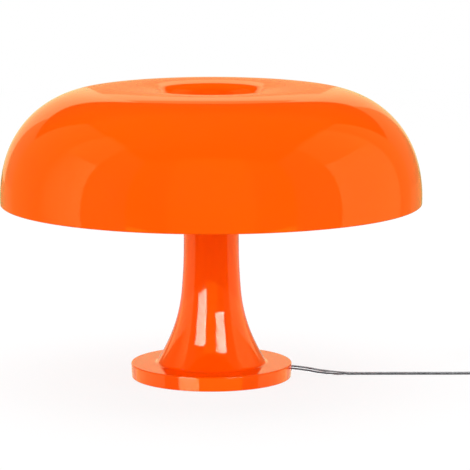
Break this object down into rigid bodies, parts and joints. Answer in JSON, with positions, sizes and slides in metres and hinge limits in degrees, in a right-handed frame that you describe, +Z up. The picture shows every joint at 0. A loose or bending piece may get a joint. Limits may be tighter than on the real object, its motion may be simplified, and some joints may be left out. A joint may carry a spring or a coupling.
{
  "type": "mushroom table lamp",
  "caption": "Low mushroom table lamp: a wide glossy shade with a well in its crown lifts off a flared column on a disc base; corded, with an in-line rocker switch.",
  "frame": {"origin": "middle of the base where it stands on the table", "axes": "+Z up along the column; +X towards the cord's outlet; +Y away from the viewer of the picture"},
  "size_m": [0.4598, 0.32, 0.2226],
  "materials": {
    "orange": "glossy moulded",
    "felt": "felt",
    "black_plastic": "satin",
    "steel": "plated",
    "iron": "as cast",
    "white_plastic": "matte",
    "brass": "bright",
    "clear_cord": "clear",
    "opal": "opal",
    "brown_wire": "smooth",
    "blue_wire": "smooth"
  },
  "bodies": {
    "lamp": {"ballast": "iron", "bottom_cover": "black_plastic", "clamp_screws": "steel", "coil_tie": "white_plastic", "column": "orange", "cord_bush": "black_plastic", "cord_clamp": "black_plastic", "cord_coil": "clear_cord", "cord_end": "clear_cord", "cord_inner": "clear_cord", "cord_lead": "clear_cord", "cord_tail": "clear_cord", "cover_screws": "steel", "felt_pad": "felt", "holder_back_left": "white_plastic", "holder_back_right": "white_plastic", "holder_contact_left": "brass", "holder_contact_right": "brass", "holder_core_left": "white_plastic", "holder_core_right": "white_plastic", "holder_locknut_left": "steel", "holder_locknut_right": "steel", "holder_nipple_left": "steel", "holder_nipple_right": "steel", "holder_shell_left": "brass", "holder_shell_right": "brass", "holder_sleeve_left": "white_plastic", "holder_sleeve_right": "white_plastic", "hub_cover": "white_plastic", "lampholder_hub": "white_plastic", "lead_live_left": "brown_wire", "lead_live_right": "brown_wire", "lead_neutral_left": "blue_wire", "lead_neutral_right": "blue_wire", "lower_nut": "steel", "lower_washer": "steel", "plug_body": "black_plastic", "plug_pins": "brass", "plug_sleeves": "black_plastic", "switch_contacts": "brass", "switch_lower": "black_plastic", "switch_pivot": "steel", "switch_screws": "steel", "switch_upper": "black_plastic", "terminal_block": "white_plastic", "terminal_inserts": "brass", "terminal_screws": "steel", "tie_rod": "steel", "upper_nut": "steel", "upper_washer": "steel"},
    "shade": {"shade": "orange"},
    "rocker": {"switch_rocker": "black_plastic"},
    "bulb_left": {"bulb_globe_left": "opal", "bulb_collar_left": "white_plastic", "bulb_cap_left": "steel", "bulb_tip_left": "brass"},
    "bulb_right": {"bulb_globe_right": "opal", "bulb_collar_right": "white_plastic", "bulb_cap_right": "steel", "bulb_tip_right": "brass"}
  },
  "joints": [
    {"name": "shade_lift", "type": "slide", "parent": "lamp", "child": "shade", "axis": [0, 0, 1], "range_m": [0, 0.07]},
    {"name": "bulb_left_out", "type": "slide", "parent": "lamp", "child": "bulb_left", "axis": [-1, 0, 0], "range_m": [0, 0.024]},
    {"name": "bulb_right_out", "type": "slide", "parent": "lamp", "child": "bulb_right", "axis": [1, 0, 0], "range_m": [0, 0.024]},
    {"name": "rocker_tilt", "type": "hinge", "parent": "lamp", "child": "rocker", "pos_m": [0.228, 0.083, 0.0105], "axis": [1, 0, 0], "range_deg": [0, 16]}
  ]
}
